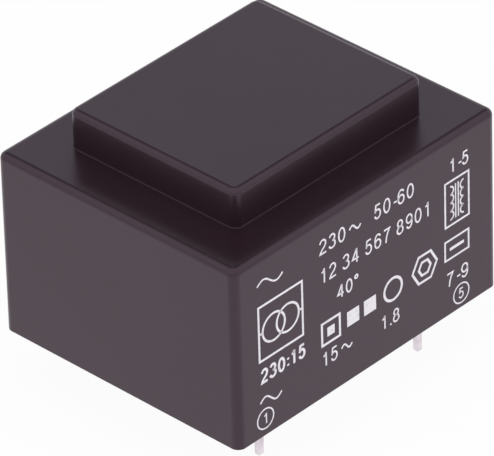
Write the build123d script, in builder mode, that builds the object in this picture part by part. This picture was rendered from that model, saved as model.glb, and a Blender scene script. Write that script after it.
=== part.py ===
from build123d import *
import os

# A small mains transformer for circuit boards, potted in a moulded cup. X runs along
# the long side that carries the print, the print faces -Y, and z = 0 is the rim of the
# cup, which sits on the board. The pins reach below it. Sizes are in millimetres.

# Laminations: each layer is one E and one I, turned end for end from layer to layer
centre_leg_width = 10.0
outer_leg_width = 5.0
window_width = 5.0
window_length = 15.0
yoke_width = 5.0
lamination_thickness = 0.5
lamination_count = 21

# Bobbin: a tube on the centre leg, three flanges, and a pin rail under each yoke
leg_clearance = 0.15
tube_wall = 0.7
tube_corner_radius = 0.5
flange_thickness = 0.7
flange_rise = 3.7
flange_corner_radius = 0.8
window_clearance = 0.2
primary_chamber = 6.9
rail_clearance = 0.2
rail_thickness = 2.65
rail_end_margin = 2.0
slot_width = 0.9

# Windings, the tape over them, and the wire ends that run to the pins
winding_depth = 0.6
winding_corner_radius = 1.5
wire_inset = 1.6
tape_thickness = 0.15
wire_diameter = 0.3
wire_depth = 0.35
wire_clearance = 0.2
wire_anchor = 1.0
solder_radius = 0.9
solder_height = 1.3

# Pins: square wire on a 5 mm grid, cut off with a small bevel
pin_pitch = 5.0
pins_per_rail = 5
pin_width = 0.55
pin_protrusion = 5.4
pin_tip_length = 0.15
pin_tip_angle = 35.0
pin_cover = 0.6

# Cup: walls round the core, and a raised block over the coil
wall = 1.0
roof = 1.0
core_side_clearance = 0.25
core_end_clearance = 0.15
core_headroom = 1.1
coil_headroom = 0.3
block_side_clearance = 0.75
block_end_clearance = 1.25
draft_angle = 0.15
body_corner_radius = 0.8
body_top_radius = 0.65
block_corner_radius = 0.8
block_top_radius = 0.55
block_root_size = 0.07
inner_corner_radius = 0.4
rib_width = 1.2
pad_size = 3.0

# Potting: its surface lies inside the rim and creeps a little up the walls and pins
resin_recess = 0.6
resin_under_coil = 0.3
meniscus_size = 0.3
creep_height = 0.3
creep_width = 0.3
creep_angle = 40.0

# Worked out from the sizes above
core_length = centre_leg_width + 2 * (window_width + outer_leg_width)
core_depth = window_length + 2 * yoke_width
stack_height = lamination_thickness * lamination_count
window_offset = (centre_leg_width + window_width) / 2

tube_inner_width = centre_leg_width + 2 * leg_clearance
tube_inner_height = stack_height + 2 * leg_clearance
tube_outer_width = tube_inner_width + 2 * tube_wall
tube_outer_height = tube_inner_height + 2 * tube_wall
flange_width = centre_leg_width + 2 * (window_width - window_clearance)
flange_height = tube_outer_height + 2 * flange_rise
bobbin_length = window_length - 2 * window_clearance
secondary_chamber = bobbin_length - 3 * flange_thickness - primary_chamber

flange_bottom = resin_recess + resin_under_coil
coil_height = flange_bottom + flange_height / 2
stack_bottom = coil_height - stack_height / 2
stack_top = coil_height + stack_height / 2

front_flange_back = -bobbin_length / 2 + flange_thickness
middle_flange_front = front_flange_back + primary_chamber
middle_flange_back = middle_flange_front + flange_thickness
back_flange_front = bobbin_length / 2 - flange_thickness

winding_width = flange_width - 2 * winding_depth
winding_height = flange_height - 2 * winding_depth
wire_height = flange_bottom + winding_depth + wire_depth
wire_radius = wire_diameter / 2
rail_top = stack_bottom - rail_clearance
rail_bottom = rail_top - rail_thickness
rail_length = (pins_per_rail - 1) * pin_pitch + 2 * rail_end_margin
pin_row = (window_length + yoke_width) / 2

body_length = core_length + 2 * (core_side_clearance + wall)
body_width = core_depth + 2 * (core_end_clearance + wall)
body_height = stack_top + core_headroom + roof
block_length = flange_width + 2 * (block_side_clearance + wall)
block_width = bobbin_length + 2 * (block_end_clearance + wall)
total_height = flange_bottom + flange_height + coil_headroom + roof

# Pins by number: 1 and 5 feed the primary, 7 and 9 the secondary. The numbers run
# along the printed side and come back along the other one.
pin_places = {
    1: (-2 * pin_pitch, -pin_row),
    5: (2 * pin_pitch, -pin_row),
    7: (pin_pitch, pin_row),
    9: (-pin_pitch, pin_row),
}


def facing_print(y, z):
    """The upright plane at y that looks towards the printed side, with Z up."""
    return Plane(origin=(0, y, z), x_dir=(1, 0, 0), z_dir=(0, -1, 0))


def save(part, name):
    """Labels a finished piece and writes it under its own name."""
    part.label = name
    export_step(part, f"parts/{name}.step")


os.makedirs("parts", exist_ok=True)


# The core: E and I laminations, whose joints change ends from layer to layer
for layer in range(lamination_count):
    yoke_side = 1 if layer % 2 else -1
    layer_plane = Plane.XY.offset(stack_bottom + layer * lamination_thickness)

    with BuildPart() as e_lamination:
        with BuildSketch(layer_plane):
            with Locations((0, yoke_side * yoke_width / 2)):
                Rectangle(core_length, core_depth - yoke_width)
            with Locations((-window_offset, 0), (window_offset, 0)):
                Rectangle(window_width, window_length, mode=Mode.SUBTRACT)
        extrude(amount=lamination_thickness)
    save(e_lamination.part, f"e_lamination_{layer + 1:02d}")

    with BuildPart() as i_lamination:
        with BuildSketch(layer_plane):
            with Locations((0, -yoke_side * (core_depth - yoke_width) / 2)):
                Rectangle(core_length, yoke_width)
        extrude(amount=lamination_thickness)
    save(i_lamination.part, f"i_lamination_{layer + 1:02d}")


# Each end of a winding runs straight from inside the coil to its pin
def wire_start(pin_x, pin_y):
    """Where the wire for a pin begins, inside the coil."""
    x = min(abs(pin_x), winding_width / 2) - wire_inset
    y = bobbin_length / 2 - flange_thickness - wire_anchor
    return (x if pin_x > 0 else -x, y if pin_y > 0 else -y, wire_height)


# The bobbin: one moulding with its tube, flanges, wire slots and pin rails
with BuildPart() as bobbin:
    with BuildSketch(facing_print(bobbin_length / 2, coil_height)):
        RectangleRounded(tube_outer_width, tube_outer_height, tube_corner_radius)
    extrude(amount=bobbin_length)

    for flange_back in (front_flange_back, middle_flange_back, bobbin_length / 2):
        with BuildSketch(facing_print(flange_back, coil_height)):
            RectangleRounded(flange_width, flange_height, flange_corner_radius)
        extrude(amount=flange_thickness)

    for side in (-1, 1):
        rail_start = side * (bobbin_length / 2 - flange_thickness)
        rail_end = side * (core_depth / 2 - rail_clearance)
        with BuildSketch(Plane.XY.offset(rail_bottom)):
            with Locations((0, (rail_start + rail_end) / 2)):
                Rectangle(rail_length, abs(rail_end - rail_start))
        extrude(amount=rail_thickness)

    with BuildSketch(facing_print(bobbin_length / 2, coil_height)):
        Rectangle(tube_inner_width, tube_inner_height)
    extrude(amount=bobbin_length, mode=Mode.SUBTRACT)

    slot_top = wire_height + wire_radius + wire_clearance
    with BuildSketch(Plane.XY.offset(flange_bottom)):
        for pin_x, pin_y in pin_places.values():
            start_x, start_y, _ = wire_start(pin_x, pin_y)
            slot_y = (bobbin_length - flange_thickness) / 2 * (1 if pin_y > 0 else -1)
            slot_x = start_x + (pin_x - start_x) * (slot_y - start_y) / (pin_y - start_y)
            with Locations((slot_x, slot_y)):
                Rectangle(slot_width, flange_thickness)
    extrude(amount=slot_top - flange_bottom, mode=Mode.SUBTRACT)

    with BuildSketch(Plane.XY.offset(rail_bottom)):
        with GridLocations(pin_pitch, 2 * pin_row, pins_per_rail, 2):
            Rectangle(pin_width, pin_width)
    extrude(amount=rail_thickness - pin_cover, mode=Mode.SUBTRACT)
save(bobbin.part, "bobbin")


# The windings: each fills its chamber up to just below the flanges' edges, and its two
# ends leave through the flange and run under the rail to their pins
def winding_ring(back, length, grown=0.0):
    """A closed ring round the tube, from y = back towards the print."""
    with BuildPart() as ring:
        with BuildSketch(facing_print(back, coil_height)):
            RectangleRounded(
                winding_width + 2 * grown,
                winding_height + 2 * grown,
                winding_corner_radius + grown,
            )
            RectangleRounded(
                tube_outer_width, tube_outer_height, tube_corner_radius, mode=Mode.SUBTRACT
            )
        extrude(amount=length)
    return ring.part


def wire_end(pin_x, pin_y):
    """The wire from inside the coil to the side of its pin."""
    start = Vector(*wire_start(pin_x, pin_y))
    run = Vector(pin_x, pin_y, wire_height) - start
    with BuildPart() as wire:
        with BuildSketch(Plane(origin=start, z_dir=run)):
            Circle(wire_radius)
        extrude(amount=run.length - (pin_width + wire_diameter) / 2)
    return wire.part


with BuildPart() as primary_winding:
    add(winding_ring(middle_flange_front, primary_chamber))
    add(wire_end(*pin_places[1]))
    add(wire_end(*pin_places[5]))
save(primary_winding.part, "primary_winding")

with BuildPart() as secondary_winding:
    add(winding_ring(back_flange_front, secondary_chamber))
    add(wire_end(*pin_places[7]))
    add(wire_end(*pin_places[9]))
save(secondary_winding.part, "secondary_winding")


# The tape: a closed band over each winding
with BuildPart() as primary_tape:
    add(winding_ring(middle_flange_front, primary_chamber, tape_thickness))
    add(primary_winding.part, mode=Mode.SUBTRACT)
save(primary_tape.part, "primary_tape")

with BuildPart() as secondary_tape:
    add(winding_ring(back_flange_front, secondary_chamber, tape_thickness))
    add(secondary_winding.part, mode=Mode.SUBTRACT)
save(secondary_tape.part, "secondary_tape")


# The pins: square wire pressed up into the rails, and round each the solder that holds
# the end of its winding
pin_parts = []
solder_parts = []
for number, (pin_x, pin_y) in pin_places.items():
    pin_top = rail_top - pin_cover
    with BuildPart() as pin_part:
        with BuildSketch(Plane.XY.offset(pin_tip_length - pin_protrusion)):
            with Locations((pin_x, pin_y)):
                Rectangle(pin_width, pin_width)
        extrude(amount=pin_top + pin_protrusion - pin_tip_length)
        extrude(
            pin_part.faces().sort_by(Axis.Z)[0],
            amount=pin_tip_length,
            taper=pin_tip_angle,
        )
    save(pin_part.part, f"pin_{number}")
    pin_parts.append(pin_part.part)

    with BuildPart() as solder:
        with BuildSketch(Plane.XY.offset(wire_height - solder_height / 2)):
            with Locations((pin_x, pin_y)):
                Circle(solder_radius)
        extrude(amount=solder_height)
        add(pin_part.part, mode=Mode.SUBTRACT)
        add((primary_winding if pin_y < 0 else secondary_winding).part, mode=Mode.SUBTRACT)
    save(solder.part, f"solder_joint_{number}")
    solder_parts.append(solder.part)


# The cup: a moulding with a raised block, open towards the board. Ribs inside hold the
# core sideways, and a pad in each corner under the roof stops it at its height.
with BuildPart() as cavity:
    with BuildSketch(Plane.XY):
        RectangleRounded(body_length - 2 * wall, body_width - 2 * wall, inner_corner_radius)
    extrude(amount=body_height - roof)
    with BuildSketch(Plane.XY):
        RectangleRounded(block_length - 2 * wall, block_width - 2 * wall, inner_corner_radius)
    extrude(amount=total_height - roof)

with BuildPart() as housing:
    with BuildSketch(Plane.XY):
        RectangleRounded(body_length, body_width, body_corner_radius)
    extrude(amount=body_height, taper=draft_angle)
    fillet(housing.faces().sort_by(Axis.Z)[-1].edges(), body_top_radius)

    with BuildSketch(Plane.XY.offset(body_height)) as block_outline:
        RectangleRounded(block_length, block_width, block_corner_radius)
    extrude(amount=total_height - body_height, taper=draft_angle)
    fillet(housing.faces().sort_by(Axis.Z)[-1].edges(), block_top_radius)
    ledge = housing.faces().filter_by(Axis.Z).sort_by(Axis.Z)[-2]
    chamfer(ledge.inner_wires()[0].edges(), block_root_size)

    add(cavity.part, mode=Mode.SUBTRACT)

    rib_bottom = resin_recess + resin_under_coil
    with BuildSketch(Plane.XY.offset(rib_bottom)):
        with GridLocations(core_length / 2, core_depth + core_end_clearance, 2, 2):
            Rectangle(rib_width, core_end_clearance)
        with GridLocations(core_length + core_side_clearance, core_depth / 2, 2, 2):
            Rectangle(core_side_clearance, rib_width)
    extrude(amount=body_height - roof - rib_bottom)

    pad_x = (body_length - pad_size) / 2 - wall
    pad_y = (body_width - pad_size) / 2 - wall
    with BuildSketch(Plane.XY.offset(stack_top)):
        with GridLocations(2 * pad_x, 2 * pad_y, 2, 2):
            Rectangle(pad_size, pad_size)
    extrude(amount=body_height - roof - stack_top)
save(housing.part, "housing")


# The potting resin: it fills the cup round everything. Its surface is flat, and slopes
# where it creeps up the walls and the pins.
with BuildPart() as air_in_rim:
    with BuildSketch(Plane.XY):
        RectangleRounded(body_length - 2 * wall, body_width - 2 * wall, inner_corner_radius)
    extrude(amount=resin_recess)
    chamfer(air_in_rim.faces().sort_by(Axis.Z)[-1].edges(), meniscus_size)

with BuildPart() as potting_resin:
    add(cavity.part)
    add(air_in_rim.part, mode=Mode.SUBTRACT)
    for pin_x, pin_y in pin_places.values():
        with BuildSketch(Plane(origin=(pin_x, pin_y, resin_recess), z_dir=(0, 0, -1))):
            Rectangle(pin_width + 2 * creep_width, pin_width + 2 * creep_width)
        extrude(amount=creep_height, taper=creep_angle)
    with BuildSketch(Plane.XY.offset(stack_bottom)):
        Rectangle(core_length, core_depth)
        with Locations((-window_offset, 0), (window_offset, 0)):
            Rectangle(window_width, window_length, mode=Mode.SUBTRACT)
    extrude(amount=stack_height, mode=Mode.SUBTRACT)
    for inside in (
        housing.part,
        bobbin.part,
        primary_winding.part,
        secondary_winding.part,
        primary_tape.part,
        secondary_tape.part,
        *solder_parts,
        *pin_parts,
    ):
        add(inside, mode=Mode.SUBTRACT)
save(potting_resin.part, "potting_resin")
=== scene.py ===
import math

import bmesh
import bpy
from mathutils import Matrix, Vector


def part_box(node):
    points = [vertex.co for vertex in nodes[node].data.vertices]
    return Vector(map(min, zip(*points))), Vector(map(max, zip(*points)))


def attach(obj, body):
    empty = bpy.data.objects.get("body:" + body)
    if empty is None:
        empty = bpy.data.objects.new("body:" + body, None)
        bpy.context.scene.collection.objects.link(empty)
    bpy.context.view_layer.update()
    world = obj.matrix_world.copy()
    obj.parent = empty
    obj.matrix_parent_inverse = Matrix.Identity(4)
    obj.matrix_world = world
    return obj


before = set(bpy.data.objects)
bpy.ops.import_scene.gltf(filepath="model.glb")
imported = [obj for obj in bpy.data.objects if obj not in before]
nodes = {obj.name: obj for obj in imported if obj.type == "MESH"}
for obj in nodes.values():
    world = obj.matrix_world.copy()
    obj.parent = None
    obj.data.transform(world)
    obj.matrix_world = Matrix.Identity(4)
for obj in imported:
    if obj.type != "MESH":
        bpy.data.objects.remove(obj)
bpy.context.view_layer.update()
MM = 0.001


# The core. Twenty-one layers of E and I sheets, stamped from silicon steel strip. The
# annealed faces are blue-grey with rolling marks along the strip, and the cut edges are
# brighter. The stack fills the coil's tube and is held by the potting round it.
class Value:
    """One output of a shader node. Sums on it add Math nodes to its own material."""

    def __init__(self, finish, socket):
        self.finish = finish
        self.socket = socket

    def maths(self, operation, *terms):
        return self.finish.node(
            "ShaderNodeMath", {"operation": operation}, dict(enumerate(terms))
        )

    def __add__(self, other):
        return self.maths("ADD", self, other)

    def __sub__(self, other):
        return self.maths("SUBTRACT", self, other)

    def __rsub__(self, other):
        return self.maths("SUBTRACT", other, self)

    def __mul__(self, other):
        return self.maths("MULTIPLY", self, other)

    __radd__ = __add__
    __rmul__ = __mul__

    def above(self, level):
        """1 where it lies over a level, and 0 elsewhere."""
        return self.maths("GREATER_THAN", self, level)

    def size(self):
        """Its size without its sign."""
        return self.maths("ABSOLUTE", self)

    def sine(self):
        """The sine of it as an angle."""
        return self.maths("SINE", self)

    def larger(self, other):
        """The larger of it and another."""
        return self.maths("MAXIMUM", self, other)


class Finish:
    """A material made of nodes round one Principled shader."""

    def __init__(self, name, colour, roughness, metallic=0.0):
        self.material = bpy.data.materials.new(name)
        self.material.use_nodes = True
        self.material.diffuse_color = (*colour, 1.0)
        self.tree = self.material.node_tree
        self.shader = self.tree.nodes["Principled BSDF"]
        self.set("Base Color", (*colour, 1.0))
        self.set("Roughness", roughness)
        self.set("Metallic", metallic)
        coords = self.tree.nodes.new("ShaderNodeTexCoord")
        self.place = Value(self, coords.outputs["Object"])
        self.facing = Value(self, coords.outputs["Normal"])

    def set(self, socket, value):
        """Gives one of the shader's own sockets a plain value or a link."""
        if isinstance(value, Value):
            self.tree.links.new(value.socket, self.shader.inputs[socket])
        else:
            self.shader.inputs[socket].default_value = value

    def node(self, kind, settings=None, inputs=None, output=0):
        """Adds a node: its settings first, then its sockets' values or links."""
        made = self.tree.nodes.new(kind)
        for name, value in (settings or {}).items():
            setattr(made, name, value)
        for name, value in (inputs or {}).items():
            if isinstance(value, Value):
                self.tree.links.new(value.socket, made.inputs[name])
            else:
                made.inputs[name].default_value = value
        return Value(self, made.outputs[output])

    def noise(self, scale, detail=2.0, roughness=0.5, stretch=(1, 1, 1)):
        """Noise with a scale in features per metre, longer along a stretched axis."""
        place = self.node("ShaderNodeMapping", {}, {"Vector": self.place, "Scale": stretch})
        return self.node(
            "ShaderNodeTexNoise",
            {},
            {"Vector": place, "Scale": scale, "Detail": detail, "Roughness": roughness},
        )

    def ramp(self, value, low, high):
        """The value between two levels, taken to 0 and 1."""
        return self.node(
            "ShaderNodeMapRange",
            {"clamp": True},
            {"Value": value, "From Min": low, "From Max": high},
        )

    def mix(self, factor, first, second):
        """A colour between two others."""
        return self.node(
            "ShaderNodeMix",
            {"data_type": "RGBA"},
            {
                0: factor,
                6: first if isinstance(first, Value) else (*first, 1.0),
                7: second if isinstance(second, Value) else (*second, 1.0),
            },
            2,
        )

    def bump(self, height, depth, under=None):
        """Bump from a height of 0 to 1 over a depth in metres."""
        inputs = {"Height": height, "Strength": 1.0, "Distance": depth}
        if under is not None:
            inputs["Normal"] = under
        return self.node("ShaderNodeBump", {}, inputs)

    def axis(self, letter):
        """One Object coordinate."""
        return self.node("ShaderNodeSeparateXYZ", {}, {"Vector": self.place}, letter)

    def wear(self, names):
        """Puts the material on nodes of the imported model."""
        for name in names:
            for held in nodes[name].material_slots:
                held.material = self.material


steel = Finish("core_steel_sheet", (0.33, 0.34, 0.37), 0.42, metallic=1.0)
rolling = steel.noise(1600.0, 3.0, 0.6, stretch=(1.0, 0.03, 1.0))
anneal = steel.noise(140.0, 4.0, 0.6)
steel.set(
    "Base Color",
    steel.mix(steel.ramp(anneal, 0.35, 0.7), (0.26, 0.28, 0.33), (0.42, 0.39, 0.36)),
)
steel.set("Roughness", 0.34 + 0.2 * rolling)
steel.set("Normal", steel.bump(rolling, 0.004 * MM))
steel.wear(n for n in nodes if "_lamination_" in n)


# The bobbin. One moulding in natural glass-filled nylon: a tube on the core's centre
# leg, three flanges that part the two windings, and a rail under each end for the pins.
nylon = Finish("bobbin_nylon", (0.76, 0.71, 0.58), 0.48)
flow = nylon.noise(220.0, 3.0)
fibres = nylon.noise(2600.0, 2.0, 0.7, stretch=(1.0, 1.0, 0.25))
nylon.set(
    "Base Color",
    nylon.mix(nylon.ramp(flow, 0.3, 0.75), (0.78, 0.73, 0.61), (0.68, 0.62, 0.49)),
)
nylon.set("Roughness", 0.4 + 0.22 * fibres)
nylon.set("Normal", nylon.bump(fibres, 0.006 * MM))
nylon.wear(["bobbin"])


# The windings. Enamelled copper wire laid in close turns round the tube, fine wire in
# the primary and thicker wire in the secondary, with both ends brought to the pins.
for winding, wire_pitch in (("primary_winding", 0.12 * MM), ("secondary_winding", 0.36 * MM)):
    copper = Finish(f"{winding}_copper", (0.62, 0.23, 0.08), 0.28, metallic=1.0)
    turns = copper.axis("Y") * (2 * math.pi / wire_pitch)
    crowns_and_painted_light = 0.5 + 0.5 * turns.sine()
    uneven = copper.noise(500.0, 2.0)
    # The colour is painted lighter on the crowns of the turns and darker in the grooves between
    # them, a painted highlight and painted shade, scaled by an uneven tone. The same wave of the
    # turns also feeds the bump.
    copper.set(
        "Base Color",
        copper.mix(crowns_and_painted_light * (0.5 + 0.5 * uneven), (0.4, 0.12, 0.04), (0.72, 0.3, 0.11)),
    )
    copper.set("Roughness", 0.22 + 0.16 * uneven)
    copper.set("Normal", copper.bump(crowns_and_painted_light, 0.25 * wire_pitch))
    copper.wear([winding])


# The tape. Yellow polyester film wound over each coil, glossy, with a faint pattern of
# the turns of wire pressed through it and the ends of its own layers.
film = Finish("polyester_tape", (0.8, 0.55, 0.07), 0.3)
pressed_pitch = 0.4 * MM
pressed = 0.5 + 0.5 * (film.axis("Y") * (2 * math.pi / pressed_pitch)).sine()
creases = film.noise(320.0, 3.0, 0.6, stretch=(1.0, 3.0, 1.0))
film.set(
    "Base Color",
    film.mix(film.ramp(creases, 0.35, 0.7), (0.82, 0.58, 0.08), (0.7, 0.45, 0.05)),
)
film.set("Roughness", 0.24 + 0.2 * creases)
film.set("Normal", film.bump(pressed * 0.3 + creases, 0.02 * MM))
film.wear(["primary_tape", "secondary_tape"])


# The pins and their solder. Square tinned wire, drawn and cut to length with a small
# bevel, pressed into the bobbin's rails. The solder holds the turns of wire round each.
tin = Finish("tinned_wire", (0.78, 0.74, 0.76), 0.27, metallic=1.0)
drawn = tin.noise(5200.0, 3.0, 0.6, stretch=(1.0, 1.0, 0.04))
dull = tin.noise(900.0, 3.0, 0.55)
tin.set(
    "Base Color",
    tin.mix(tin.ramp(dull, 0.35, 0.75), (0.84, 0.8, 0.82), (0.62, 0.59, 0.61)),
)
tin.set("Roughness", 0.2 + 0.14 * dull + 0.08 * drawn)
tin.set("Normal", tin.bump(drawn, 0.004 * MM))
tin.wear(n for n in nodes if n.startswith("pin_"))

solder = Finish("soft_solder", (0.7, 0.69, 0.68), 0.3, metallic=1.0)
frosting = solder.noise(3000.0, 4.0, 0.65)
solder.set("Base Color", solder.mix(frosting, (0.76, 0.75, 0.74), (0.55, 0.54, 0.54)))
solder.set("Roughness", 0.2 + 0.3 * frosting)
solder.set("Normal", solder.bump(frosting, 0.02 * MM))
solder.wear(n for n in nodes if n.startswith("solder_joint_"))


# The potting. Dark two-part resin, poured in from the open side and cured. It is smooth
# where it was free to level, with a few burst bubbles and specks of dust.
resin = Finish("potting_resin", (0.02, 0.017, 0.017), 0.3)
cloudy = resin.noise(160.0, 4.0, 0.6)
bubbles = resin.node(
    "ShaderNodeTexVoronoi",
    {"feature": "F1", "distance": "EUCLIDEAN"},
    {"Vector": resin.place, "Scale": 420.0, "Randomness": 1.0},
    "Distance",
)
burst = 1 - resin.ramp(bubbles, 0.06, 0.16)
levelled = resin.noise(90.0, 2.0)
resin.set("Base Color", resin.mix(cloudy, (0.017, 0.014, 0.014), (0.032, 0.027, 0.026)))
resin.set("Roughness", 0.22 + 0.2 * cloudy + 0.25 * burst)
resin.set("Normal", resin.bump(levelled - 0.35 * burst, 0.09 * MM))
resin.wear(["potting_resin"])


# The cup. One moulding in dark brown-black plastic with a satin gloss: drafted walls,
# rounded edges that handling has rubbed smoother, and a raised block over the coil. The
# mould leaves a very fine grain, coarser in the corner at the block's root.
cup = Finish("cup_plastic", (0.0138, 0.0064, 0.0092), 0.27)
cup.set("IOR", 1.605)
cup.set("Specular Tint", (1.0, 0.78, 0.95, 1.0))
cup_shade = cup.noise(70.0, 3.0)
cup_grain = cup.noise(7000.0, 2.0, 0.6)
cup_flow = cup.noise(260.0, 3.0, 0.55, stretch=(1.0, 1.0, 0.4))
cup_scuffs = cup.noise(900.0, 4.0, 0.7, stretch=(0.15, 0.6, 1.0))
facing_x, facing_y, facing_z = (
    cup.node("ShaderNodeSeparateXYZ", {}, {"Vector": cup.facing}, letter).size()
    for letter in "XYZ"
)
flat_level, round_level = 0.995, 0.93
rounded_edge = cup.ramp(facing_x.larger(facing_y).larger(facing_z), flat_level, round_level)
cup_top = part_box("housing")[1][2]
least_step = 1.0 * MM
root_start, root_end = 0.005 * MM, 0.075 * MM
ledge_height = max(
    face.center.z
    for face in nodes["housing"].data.polygons
    if face.normal.z > 0.999 and face.center.z < cup_top - least_step
)
cup_height = cup.axis("Z")
block_root = cup_height.above(ledge_height + root_start) * (
    1 - cup_height.above(ledge_height + root_end)
)
cup.set(
    "Base Color",
    cup.mix(cup.ramp(cup_shade, 0.3, 0.7), (0.0125, 0.0056, 0.0082), (0.015, 0.0072, 0.0102)),
)
cup.set(
    "Roughness",
    0.27
    + 0.06 * cup_flow
    + 0.05 * cup.ramp(cup_scuffs, 0.6, 0.75)
    - 0.03 * rounded_edge
    + 0.5 * block_root,
)
cup.set("Normal", cup.bump(cup_grain, 0.0012 * MM, cup.bump(cup_flow, 0.006 * MM)))
cup.wear(["housing"])


# The print. White ink, pad-printed on the long side that faces -Y and cured: plain
# figures for the pins and the ratings, circuit symbols of a transformer in two frames,
# and a row of plain shapes. All sizes on the wall are in millimetres.
ink = Finish("white_ink", (0.84, 0.81, 0.86), 0.5)
ink_thin = ink.noise(2600.0, 3.0, 0.6)
ink.set(
    "Base Color",
    ink.mix(ink.ramp(ink_thin, 0.56, 0.72), (0.85, 0.82, 0.87), (0.63, 0.6, 0.66)),
)
ink.set("Roughness", 0.42 + 0.2 * ink_thin)
ink.set("Normal", ink.bump(ink.noise(9000.0, 2.0), 0.002 * MM))

ink_thickness = 0.015
ink_sunk = 0.004
ink_stroke = 0.17
thin_stroke = 0.14
frame_stroke = 0.22
shape_stroke = 0.24
bold_stroke = 0.25

wall_lean = 0.2 * MM
wall_face = max(
    (
        face
        for face in nodes["housing"].data.polygons
        if face.normal.y < -0.99 and face.center.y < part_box("housing")[0][1] + wall_lean
    ),
    key=lambda face: face.area,
)
across = Vector((1.0, 0.0, 0.0))
outward = wall_face.normal.normalized()
upward = outward.cross(across)
wall_foot = wall_face.center - upward * (wall_face.center.z / upward.z)
wall_foot.x = 0.0
on_wall = Matrix((across * MM, upward * MM, outward * MM)).transposed().to_4x4()
on_wall.translation = wall_foot - outward * ink_sunk * MM


def ink_line(print_mesh, points, width, closed=False):
    """Adds a line of even width whose middle follows the points."""
    points = [Vector(point) for point in points]
    count = len(points)
    sections = []
    for i, point in enumerate(points):
        last = point - points[i - 1] if closed or i else None
        following = points[(i + 1) % count] - point if closed or i < count - 1 else None
        first_way = (last or following).normalized()
        second_way = (following or last).normalized()
        first_side = Vector((-first_way.y, first_way.x))
        second_side = Vector((-second_way.y, second_way.x))
        reach = (first_side + second_side) * (width / 2 / (1 + first_side.dot(second_side)))
        sections.append(
            [
                print_mesh.verts.new((*(point + side * reach), level))
                for side, level in ((-1, 0), (1, 0), (1, ink_thickness), (-1, ink_thickness))
            ]
        )
    for i in range(count if closed else count - 1):
        here, there = sections[i], sections[(i + 1) % count]
        for k in range(4):
            print_mesh.faces.new((here[k], here[k - 1], there[k - 1], there[k]))
    if not closed:
        print_mesh.faces.new(sections[0])
        print_mesh.faces.new(sections[-1])


def arc(x, z, wide, high, start, end, steps=12):
    """Points along an oval, from one angle in degrees to another."""
    angles = [math.radians(start + (end - start) * i / steps) for i in range(steps + 1)]
    return [(x + wide * math.cos(angle), z + high * math.sin(angle)) for angle in angles]


ring_steps = 24


def ring(x, z, wide, high):
    """The middle line of a closed oval."""
    return arc(x, z, wide, high, 0, 360 - 360 / ring_steps, ring_steps - 1)


# Each figure is one or more strokes in a box one unit high. A closed stroke is a ring.
figure_strokes = {
    "0": [ring(0.27, 0.5, 0.27, 0.5)],
    "1": [[(0.1, 0.78), (0.22, 0.81), (0.29, 0.88), (0.32, 1.0)], [(0.35, 1.04), (0.35, -0.04)]],
    "2": [
        arc(0.27, 0.72, 0.26, 0.28, 172, -20)
        + [(0.42, 0.46), (0.22, 0.3), (0.07, 0.14), (0.01, 0.0), (0.56, 0.0)]
    ],
    "3": [arc(0.26, 0.76, 0.24, 0.24, 165, -90), arc(0.25, 0.27, 0.28, 0.27, 90, -168)],
    "4": [[(0.41, -0.04), (0.41, 1.0)], [(0.41, 1.0), (0.0, 0.26), (0.58, 0.26)]],
    "5": [[(0.5, 1.0), (0.12, 1.0), (0.05, 0.47)], arc(0.26, 0.33, 0.27, 0.33, 142, -162)],
    "6": [arc(0.29, 0.6, 0.27, 0.4, 32, 180) + [(0.02, 0.3)], ring(0.28, 0.31, 0.26, 0.31)],
    "7": [[(0.0, 0.96), (0.54, 0.96), (0.35, 0.66), (0.23, 0.34), (0.18, -0.04)]],
    "8": [ring(0.27, 0.76, 0.22, 0.24), ring(0.27, 0.26, 0.27, 0.27)],
    "9": [arc(0.27, 0.4, 0.27, 0.4, 212, 360) + [(0.54, 0.7)], ring(0.28, 0.69, 0.26, 0.31)],
    "-": [[(0.04, 0.37), (0.34, 0.37)]],
    ".": [[(0.08, -0.06), (0.08, 0.08)]],
    ":": [[(0.08, 0.06), (0.08, 0.2)], [(0.08, 0.56), (0.08, 0.7)]],
    "°": [ring(0.13, 0.87, 0.14, 0.14)],
}
full_step = 0.87
narrow_steps = {"-": 0.46, ".": 0.36, ":": 0.36, " ": 0.4, "°": 0.4}


def ink_figures(print_mesh, text, left, bottom, height, stroke=ink_stroke, squeeze=1.0):
    """Adds a line of figures, with its lower left corner at a place on the wall."""
    scale = height - stroke
    x = left + stroke / 2
    for figure in text:
        for points in figure_strokes.get(figure, []):
            placed = [
                (x + place * scale * squeeze, bottom + stroke / 2 + level * scale)
                for place, level in points
            ]
            ink_line(print_mesh, placed, stroke, closed=len(points) == ring_steps)
        x += narrow_steps.get(figure, full_step) * scale * squeeze


def ring_points(x, z, radius, count=36):
    """Points round a circle, or the corners of a regular shape."""
    angles = [2 * math.pi * i / count for i in range(count)]
    return [(x + radius * math.cos(angle), z + radius * math.sin(angle)) for angle in angles]


def box_points(x, z, width, height):
    """The corners of an upright box round its middle."""
    return [
        (x - width / 2, z - height / 2),
        (x + width / 2, z - height / 2),
        (x + width / 2, z + height / 2),
        (x - width / 2, z + height / 2),
    ]


def wave_points(left, right, z, rise):
    """One wave, the sign for alternating current."""
    steps = 24
    return [
        (left + (right - left) * i / steps, z + rise * math.sin(2 * math.pi * i / steps))
        for i in range(steps + 1)
    ]


def ink_piece(name, print_mesh):
    """Lays finished ink on the wall and makes it ride with the housing."""
    bmesh.ops.remove_doubles(print_mesh, verts=print_mesh.verts, dist=1e-5)
    bmesh.ops.recalc_face_normals(print_mesh, faces=print_mesh.faces)
    made = bpy.data.meshes.new(name)
    print_mesh.to_mesh(made)
    print_mesh.free()
    made.transform(on_wall)
    made.materials.append(ink.material)
    piece = bpy.data.objects.new(name, made)
    bpy.context.scene.collection.objects.link(piece)
    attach(piece, "root")


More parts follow.
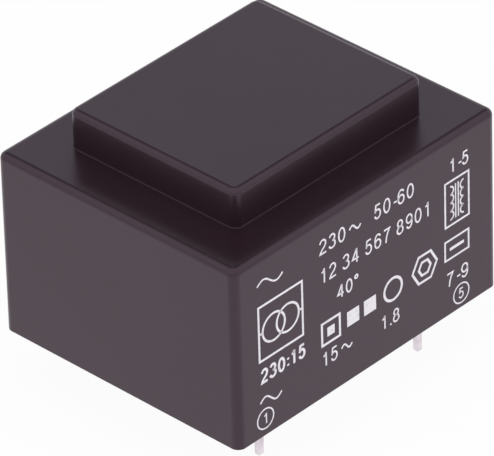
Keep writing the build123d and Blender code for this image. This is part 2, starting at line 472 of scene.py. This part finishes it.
# The numbers of the pins: two in circles by the near pins, and two pairs of numbers.
circle_radius = 0.98
circled_height = 1.1
pin_figures = bmesh.new()
for text, x, z, half_width in (("1", -12.94, 1.68, 0.3), ("5", 11.6, 1.46, 0.34)):
    ink_line(pin_figures, ring_points(x, z, circle_radius), thin_stroke, closed=True)
    corner = (x - half_width, z - circled_height / 2)
    ink_figures(pin_figures, text, *corner, circled_height, thin_stroke)
ink_figures(pin_figures, "1-5", 10.2, 14.33, 1.4)
ink_figures(pin_figures, "7-9", 9.75, 2.85, 1.5, squeeze=1.04)
ink_piece("print_pin_numbers", pin_figures)

# Plain numbers in lines, each with its lower left corner, height, stroke and squeeze,
# and four waves, each with its two ends, its level and its rise.
rating_figures = bmesh.new()
for text, left, bottom, height, stroke, squeeze in (
    ("230", -5.95, 14.38, 1.5, ink_stroke, 1.0),
    ("50-60", 0.8, 14.42, 1.5, ink_stroke, 1.0),
    ("12 34 567 8901", -5.95, 11.45, 1.5, ink_stroke, 0.98),
    ("40°", -3.9, 8.9, 1.4, ink_stroke, 1.0),
    ("15", -5.95, 3.0, 1.45, ink_stroke, 1.0),
    ("1.8", 1.4, 2.85, 1.4, ink_stroke, 1.0),
    ("230:15", -13.35, 5.3, 1.5, bold_stroke, 0.95),
):
    ink_figures(rating_figures, text, left, bottom, height, stroke, squeeze)
for left, right, z, rise in (
    (-2.25, -0.85, 15.08, 0.28),
    (-3.5, -2.2, 3.7, 0.28),
    (-13.5, -10.4, 15.2, 0.42),
    (-13.5, -10.9, 3.45, 0.42),
):
    ink_line(rating_figures, wave_points(left, right, z, rise), ink_stroke)
ink_piece("print_ratings", rating_figures)

# A transformer as two rings with their leads, in a frame that is nearly square.
frame_x, frame_z = -10.79, 10.36
frame_width, frame_height = 5.3, 5.42
symbol_radius = 1.35
symbol_spread = 0.85
lead_start, lead_end = 2.2, 2.62
square_symbol = bmesh.new()
ink_line(
    square_symbol,
    box_points(frame_x, frame_z, frame_width, frame_height),
    frame_stroke,
    closed=True,
)
for side in (-1, 1):
    symbol_ring = ring_points(frame_x + side * symbol_spread, frame_z, symbol_radius)
    ink_line(square_symbol, symbol_ring, frame_stroke, closed=True)
    lead = [(frame_x + side * reach, frame_z) for reach in (lead_start, lead_end)]
    ink_line(square_symbol, lead, frame_stroke)
ink_piece("print_square_symbol", square_symbol)

# The row of plain shapes: a square in a square, two solid squares, a circle, a hexagon in
# a hexagon, and a bar in a box. A solid shape is one line as wide as the shape is high.
plain_shapes = bmesh.new()
for outline, stroke in (
    (box_points(-4.75, 6.3, 2.2, 2.2), shape_stroke),
    (ring_points(3.0, 6.4, 1.1), 0.26),
    (ring_points(7.0, 6.5, 1.55, 6), shape_stroke),
    (ring_points(7.0, 6.5, 0.75, 6), shape_stroke),
    (box_points(11.1, 6.65, 3.0, 1.9), 0.2),
):
    ink_line(plain_shapes, outline, stroke, closed=True)
for left, right, z, height in (
    (-5.2, -4.3, 6.3, 0.9),
    (-2.75, -1.25, 6.25, 1.5),
    (-0.65, 0.85, 6.25, 1.5),
    (10.2, 12.0, 6.65, 0.3),
):
    ink_line(plain_shapes, ((left, z), (right, z)), height)
ink_piece("print_plain_shapes", plain_shapes)


def coil_symbol_tree():
    """Nodes that make a column of half rings of ink, as a coil is drawn."""
    tree = bpy.data.node_groups.new("coil_symbol", "GeometryNodeTree")
    sockets = {}
    for name, kind in (
        ("Turns", "NodeSocketInt"),
        ("Turn radius", "NodeSocketFloat"),
        ("Stroke", "NodeSocketFloat"),
        ("Thickness", "NodeSocketFloat"),
        ("Bulge", "NodeSocketFloat"),
        ("Foot", "NodeSocketVector"),
        ("Ink", "NodeSocketMaterial"),
    ):
        made = tree.interface.new_socket(name, in_out="INPUT", socket_type=kind)
        sockets[name] = made.identifier
    tree.interface.new_socket("Geometry", in_out="OUTPUT", socket_type="NodeSocketGeometry")
    given = tree.nodes.new("NodeGroupInput").outputs
    result = tree.nodes.new("NodeGroupOutput")

    def step(kind, settings, links):
        made = tree.nodes.new(kind)
        for name, value in settings.items():
            setattr(made, name, value)
        for name, value in links.items():
            if isinstance(value, bpy.types.NodeSocket):
                tree.links.new(value, made.inputs[name])
            else:
                made.inputs[name].default_value = value
        return made.outputs[0]

    half_ring_points = 17
    half_ring = step(
        "GeometryNodeCurveArc",
        {},
        {
            "Resolution": half_ring_points,
            "Radius": given["Turn radius"],
            "Start Angle": -math.pi / 2,
            "Sweep Angle": step(
                "ShaderNodeMath", {"operation": "MULTIPLY"}, {0: given["Bulge"], 1: math.pi}
            ),
        },
    )
    upright = step("GeometryNodeSetCurveNormal", {"mode": "Z_UP"}, {"Curve": half_ring})
    section = step(
        "GeometryNodeCurvePrimitiveQuadrilateral",
        {},
        {"Width": given["Stroke"], "Height": given["Thickness"]},
    )
    bent = step(
        "GeometryNodeCurveToMesh",
        {},
        {"Curve": upright, "Profile Curve": section, "Fill Caps": True},
    )
    pitch = step("ShaderNodeMath", {"operation": "MULTIPLY"}, {0: given["Turn radius"], 1: 2.0})
    column = step(
        "GeometryNodeMeshLine",
        {},
        {
            "Count": given["Turns"],
            "Start Location": given["Foot"],
            "Offset": step("ShaderNodeCombineXYZ", {}, {"Y": pitch}),
        },
    )
    turns = step("GeometryNodeInstanceOnPoints", {}, {"Points": column, "Instance": bent})
    real = step("GeometryNodeRealizeInstances", {}, {"Geometry": turns})
    inked = step("GeometryNodeSetMaterial", {}, {"Geometry": real, "Material": given["Ink"]})
    tree.links.new(inked, result.inputs[0])
    return tree, sockets


# A transformer as two columns of half rings with two bars between, in an upright frame.
coil_tree, coil_sockets = coil_symbol_tree()
tall_x, tall_z = 11.17, 11.3
tall_width, tall_height = 3.0, 4.45
tall_stroke = 0.2
turn_radius = 0.42
turn_count = 4
coil_reach = 0.85
bar_reach = 0.17
bar_half_length = 1.75
bar_stroke = 0.15
coil_symbol = bmesh.new()
tall_box = box_points(tall_x, tall_z, tall_width, tall_height)
ink_line(coil_symbol, tall_box, tall_stroke, closed=True)
for side in (-1, 1):
    carrier = bpy.data.objects.new("coil_carrier", bpy.data.meshes.new("coil_carrier"))
    bpy.context.scene.collection.objects.link(carrier)
    winder = carrier.modifiers.new("coil", "NODES")
    winder.node_group = coil_tree
    coil_foot = tall_z - turn_radius * (turn_count - 1)
    for name, value in (
        ("Turns", turn_count),
        ("Turn radius", turn_radius),
        ("Stroke", ink_stroke),
        ("Thickness", ink_thickness),
        ("Bulge", -float(side)),
        ("Foot", (tall_x + side * coil_reach, coil_foot, ink_thickness / 2)),
        ("Ink", ink.material),
    ):
        winder[coil_sockets[name]] = value
    bpy.context.view_layer.update()
    drawn_coil = bpy.data.meshes.new_from_object(
        carrier.evaluated_get(bpy.context.evaluated_depsgraph_get())
    )
    coil_symbol.from_mesh(drawn_coil)
    bpy.data.objects.remove(carrier)
    bar_x = tall_x + side * bar_reach
    bar = [(bar_x, tall_z + end * bar_half_length) for end in (-1, 1)]
    ink_line(coil_symbol, bar, bar_stroke)
ink_piece("print_coil_symbol", coil_symbol)


# The stage: a plain pale floor under the pins. It is white to the camera but for the
# object's soft shadow. Mirrored, it is a touch pink, and the far part a little greyer.
floor_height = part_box("pin_1")[0][2]
floor_half = 1.5
floor_mesh = bpy.data.meshes.new("floor")
floor_mesh.from_pydata(
    [
        (x * floor_half, y * floor_half, floor_height)
        for x, y in ((-1, -1), (1, -1), (1, 1), (-1, 1))
    ],
    [],
    [(0, 1, 2, 3)],
)
floor = bpy.data.objects.new("floor", floor_mesh)
bpy.context.scene.collection.objects.link(floor)

paper = Finish("white_paper", (0.85, 0.85, 0.85), 0.9)
paper_seen, paper_mirrored = (
    paper.node("ShaderNodeLightPath", output=ray) for ray in ("Is Camera Ray", "Is Glossy Ray")
)
from_middle = paper.node(
    "ShaderNodeVectorMath", {"operation": "LENGTH"}, {0: paper.place}, "Value"
)
fade_start, fade_end = 50.0 * MM, 110.0 * MM
white = (1.0, 1.0, 1.0)
near_tone, far_tone = (1.0, 0.96, 1.0), (0.8, 0.768, 0.8)
far_part = paper.ramp(from_middle, fade_start, fade_end)
mirrored_paper = paper.mix(far_part, near_tone, far_tone)
paper_tone = paper.mix(paper_mirrored, white, mirrored_paper)
paper_glow = 0.95
lit_paper = paper.node(
    "ShaderNodeMixShader",
    {},
    {
        0: paper_seen.larger(paper_mirrored) * paper_glow,
        1: Value(paper, paper.shader.outputs[0]),
        2: paper.node("ShaderNodeEmission", {}, {"Color": paper_tone}),
    },
)
paper.tree.links.new(lit_paper.socket, paper.tree.nodes["Material Output"].inputs["Surface"])
floor_mesh.materials.append(paper.material)


# The surround: white behind the object and an even grey that lights it. Mirrored, it is a
# pale studio with a greyer horizon, a cool side beyond the object and a dark gap above.
class Surround(Finish):
    """The same calls for nodes, on the world's own tree."""

    def __init__(self, name):
        self.world = bpy.data.worlds.new(name)
        self.world.use_nodes = True
        self.tree = self.world.node_tree


studio = Surround("surround")
bpy.context.scene.world = studio.world
studio_seen, studio_mirrored = (
    studio.node("ShaderNodeLightPath", output=ray) for ray in ("Is Camera Ray", "Is Glossy Ray")
)
direction = studio.node("ShaderNodeTexCoord", output="Generated")
sky_x, sky_y, sky_z = (
    studio.node("ShaderNodeSeparateXYZ", {}, {"Vector": direction}, letter) for letter in "XYZ"
)
beyond = sky_x + sky_y
cool_tone, gap_tone, even_grey = (0.9, 0.93, 0.99), (0.1, 0.1, 0.1), (0.45, 0.45, 0.45)
cool_side = studio.ramp(sky_z, 0.05, 0.4) * studio.ramp(beyond, 0.3, 0.9)
dark_gap = studio.ramp(sky_z, 0.57, 0.63) * studio.ramp(beyond, 0.5, 0.72)
near_sides = studio.mix(studio.ramp(sky_z, 0.0, 0.5), far_tone, near_tone)
mirrored = studio.mix(cool_side, near_sides, cool_tone)
mirrored = studio.mix(dark_gap, mirrored, gap_tone)
unseen = studio.mix(studio_mirrored, even_grey, mirrored)
backdrop = studio.mix(studio_seen, unseen, white)
studio.tree.links.new(backdrop.socket, studio.tree.nodes["Background"].inputs["Color"])


# The lamps: soft light from above and from both sides, at a plain level. The surround
# alone is mirrored, so no lamp shows in the gloss.
def soft_light(name, place, size, power):
    """A square lamp that faces the object."""
    lamp = bpy.data.lights.new(name, "AREA")
    lamp.shape = "SQUARE"
    lamp.size = size
    lamp.energy = power
    holder = bpy.data.objects.new(name, lamp)
    holder.location = place
    holder.rotation_euler = (-Vector(place)).to_track_quat("-Z", "Y").to_euler()
    holder.visible_glossy = False
    bpy.context.scene.collection.objects.link(holder)


soft_light("light_above", (-0.1, -0.05, 0.6), 0.5, 1.5)
soft_light("light_left", (-0.6, 0.0, 0.3), 0.4, 1.3)
soft_light("light_front", (0.15, -0.6, 0.3), 0.4, 1.4)


# The camera: a long lens that looks at the upright edge between the printed side and the
# end by pin 1, from about 34 degrees up.
view_azimuth = math.radians(-46.077)
view_elevation = math.radians(34.418)
view_roll = math.radians(-1.675)
view_distance = 565.62 * MM
view_centre = Vector((0.0, 0.0, 9.0 * MM))
view_offset = (-0.205 * MM, -0.802 * MM)
back = Vector(
    (
        math.sin(view_azimuth) * math.cos(view_elevation),
        -math.cos(view_azimuth) * math.cos(view_elevation),
        math.sin(view_elevation),
    )
)
level_right = Vector((0.0, 0.0, 1.0)).cross(back).normalized()
level_up = back.cross(level_right)
right = level_right * math.cos(view_roll) + level_up * math.sin(view_roll)
up = level_up * math.cos(view_roll) - level_right * math.sin(view_roll)
lens = bpy.data.cameras.new("camera")
lens.sensor_width = 36.0
lens.lens = 486.07
lens.clip_start = 10.0 * MM
camera = bpy.data.objects.new("camera", lens)
camera.matrix_world = Matrix.Translation(
    view_centre + back * view_distance + right * view_offset[0] + up * view_offset[1]
) @ Matrix((right, up, back)).transposed().to_4x4()
bpy.context.scene.collection.objects.link(camera)
bpy.context.scene.camera = camera
bpy.context.scene.view_settings.view_transform = "Standard"
